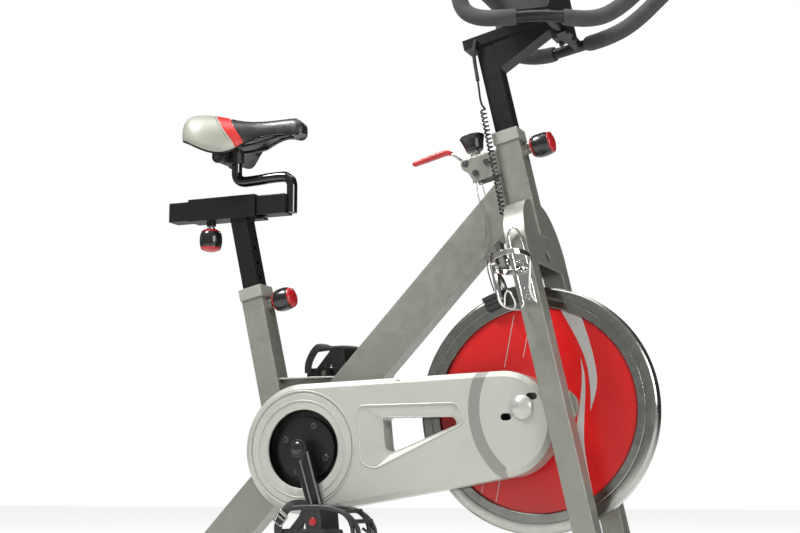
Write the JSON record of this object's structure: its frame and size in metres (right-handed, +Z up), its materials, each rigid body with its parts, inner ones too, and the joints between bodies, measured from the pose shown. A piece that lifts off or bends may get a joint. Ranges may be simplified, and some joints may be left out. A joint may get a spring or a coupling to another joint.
{
  "type": "indoor spin bike",
  "caption": "Indoor spin bike with welded frame, chain-driven flywheel, caliper brake, sliding saddle and height-adjustable looped handlebar.",
  "frame": {"origin": "centre of the bike's bounding box, at floor level", "axes": "+X forwards towards the flywheel, +Y to the rider's left, +Z up"},
  "size_m": [1.1128, 0.5, 1.2172],
  "materials": {
    "frame_paint": "satin warm silver paint",
    "black_paint": "gloss black paint",
    "guard_plastic": "light silver painted plastic",
    "soft_black": "satin black",
    "gloss_black": "gloss",
    "rubber": "ribbed",
    "foam": "fine-grained foam",
    "vinyl": "grained vinyl with grey tail panels and a red stripe",
    "chrome": "bright plated",
    "steel": "plain",
    "wheel_paint": "gloss red centre with bare machined rim",
    "screen": "grey display window",
    "red": "gloss red"
  },
  "bodies": {
    "base": {"frame": "frame_paint", "front_stabiliser": "frame_paint", "rear_stabiliser": "frame_paint", "end_caps": "soft_black", "base_bolts": "chrome", "seat_collar": "frame_paint", "head_collar": "frame_paint", "guard_outer": "guard_plastic", "guard_inner": "guard_plastic", "frame_screws": "steel", "axle_cover": "guard_plastic", "bb_cups": "steel", "brake_bracket": "frame_paint", "flywheel_axle": "steel", "axle_nuts": "chrome", "bottle_cage": "chrome", "chain": "steel", "brake_cables": "steel", "coil_cable": "soft_black", "caliper_bolt": "chrome"},
    "foot_right": {"foot_r": "soft_black"},
    "foot_left": {"foot_l": "soft_black"},
    "roller_right": {"roller_r": "rubber"},
    "roller_left": {"roller_l": "rubber"},
    "seat_column": {"seat_post": "black_paint"},
    "saddle_carriage": {"saddle_slide": "black_paint", "stem_clamp": "soft_black"},
    "saddle": {"rail_clamp": "soft_black", "saddle_rails": "black_paint", "saddle_base": "soft_black", "saddle_cushion": "vinyl"},
    "bar_column": {"bar_post": "black_paint", "bar_clamp": "black_paint", "bar_bolts": "soft_black", "handlebar": "black_paint", "bar_grips": "foam", "console": "soft_black", "console_screen": "screen"},
    "mode_button": {"console_button": "red"},
    "seat_pull": {"seat_knob": "gloss_black"},
    "slide_pull": {"slide_knob": "gloss_black"},
    "bar_pull": {"bar_knob": "gloss_black"},
    "tension": {"tension_knob": "gloss_black"},
    "lever": {"brake_lever": "chrome"},
    "caliper_right": {"caliper_arm_r": "steel", "brake_pad_r": "rubber"},
    "caliper_left": {"caliper_arm_l": "steel", "brake_pad_l": "rubber"},
    "wheel": {"flywheel": "wheel_paint", "sprocket": "steel"},
    "crank": {"spindle": "steel", "chainring": "steel", "ring_cover": "soft_black", "crank_arm_r": "black_paint", "crank_arm_l": "black_paint", "pedal_axles": "steel"},
    "pedal_right": {"pedal_r": "soft_black", "strap_r": "soft_black"},
    "pedal_left": {"pedal_l": "soft_black", "strap_l": "soft_black"}
  },
  "joints": [
    {"name": "flywheel_spin", "type": "hinge", "parent": "base", "child": "wheel", "pos_m": [0.2486, 0, 0.369], "axis": [0, 1, 0], "continuous": true},
    {"name": "crank_spin", "type": "hinge", "parent": "base", "child": "crank", "pos_m": [-0.1944, 0, 0.3], "axis": [0, 1, 0], "continuous": true},
    {"name": "pedal_right_spin", "type": "hinge", "parent": "crank", "child": "pedal_right", "pos_m": [-0.14187, -0.158, 0.13832], "axis": [0, 1, 0], "continuous": true},
    {"name": "pedal_left_spin", "type": "hinge", "parent": "crank", "child": "pedal_left", "pos_m": [-0.24693, 0.158, 0.46168], "axis": [0, 1, 0], "continuous": true},
    {"name": "seat_height", "type": "slide", "parent": "base", "child": "seat_column", "axis": [-0.2233, 0, 0.9748], "range_m": [-0.08, 0.08]},
    {"name": "saddle_fore_aft", "type": "slide", "parent": "seat_column", "child": "saddle_carriage", "axis": [1, 0, 0], "range_m": [-0.045, 0.04]},
    {"name": "saddle_tilt", "type": "hinge", "parent": "saddle_carriage", "child": "saddle", "pos_m": [-0.4304, 0, 0.911], "axis": [0, 1, 0], "range_deg": [-8, 8]},
    {"name": "bar_height", "type": "slide", "parent": "base", "child": "bar_column", "axis": [-0.2181, 0, 0.9759], "range_m": [-0.05, 0.07]},
    {"name": "console_press", "type": "slide", "parent": "bar_column", "child": "mode_button", "axis": [0.6157, 0, -0.788], "range_m": [0, 0.0015]},
    {"name": "seat_knob_pull", "type": "slide", "parent": "base", "child": "seat_pull", "axis": [0.9748, 0, 0.2233], "range_m": [0, 0.008]},
    {"name": "bar_knob_pull", "type": "slide", "parent": "base", "child": "bar_pull", "axis": [0.9759, 0, 0.2181], "range_m": [0, 0.008]},
    {"name": "slide_knob_pull", "type": "slide", "parent": "seat_column", "child": "slide_pull", "axis": [0, 0, -1], "range_m": [0, 0.008]},
    {"name": "tension_turn", "type": "hinge", "parent": "base", "child": "tension", "pos_m": [0.13165, 0, 0.85987], "axis": [-0.2181, 0, 0.9759], "range_deg": [-180, 360]},
    {"name": "lever_pull", "type": "hinge", "parent": "base", "child": "lever", "pos_m": [0.1146, 0, 0.846], "axis": [0, -1, 0], "range_deg": [0, 15]},
    {"name": "caliper_right_close", "type": "hinge", "parent": "base", "child": "caliper_right", "pos_m": [0.17471, 0, 0.64477], "axis": [0.9659, 0, 0.2588], "range_deg": [0, 1]},
    {"name": "caliper_left_close", "type": "hinge", "parent": "base", "child": "caliper_left", "pos_m": [0.17471, 0, 0.64477], "axis": [-0.9659, 0, -0.2588], "range_deg": [0, 1]},
    {"name": "foot_right_turn", "type": "hinge", "parent": "base", "child": "foot_right", "pos_m": [-0.47977, -0.18, 0.01], "axis": [0, 0, 1], "range_deg": [-180, 180]},
    {"name": "foot_left_turn", "type": "hinge", "parent": "base", "child": "foot_left", "pos_m": [-0.47977, 0.18, 0.01], "axis": [0, 0, 1], "range_deg": [-180, 180]},
    {"name": "roller_right_spin", "type": "hinge", "parent": "base", "child": "roller_right", "pos_m": [0.4548, -0.198, 0.034], "axis": [0, 1, 0], "continuous": true},
    {"name": "roller_left_spin", "type": "hinge", "parent": "base", "child": "roller_left", "pos_m": [0.4548, 0.198, 0.034], "axis": [0, 1, 0], "continuous": true}
  ],
  "couplings": [
    {"joint": "crank_spin", "follows": "flywheel_spin", "ratio": 0.38461},
    {"joint": "caliper_right_close", "follows": "lever_pull", "ratio": 0.066667},
    {"joint": "caliper_left_close", "follows": "lever_pull", "ratio": 0.066667}
  ]
}
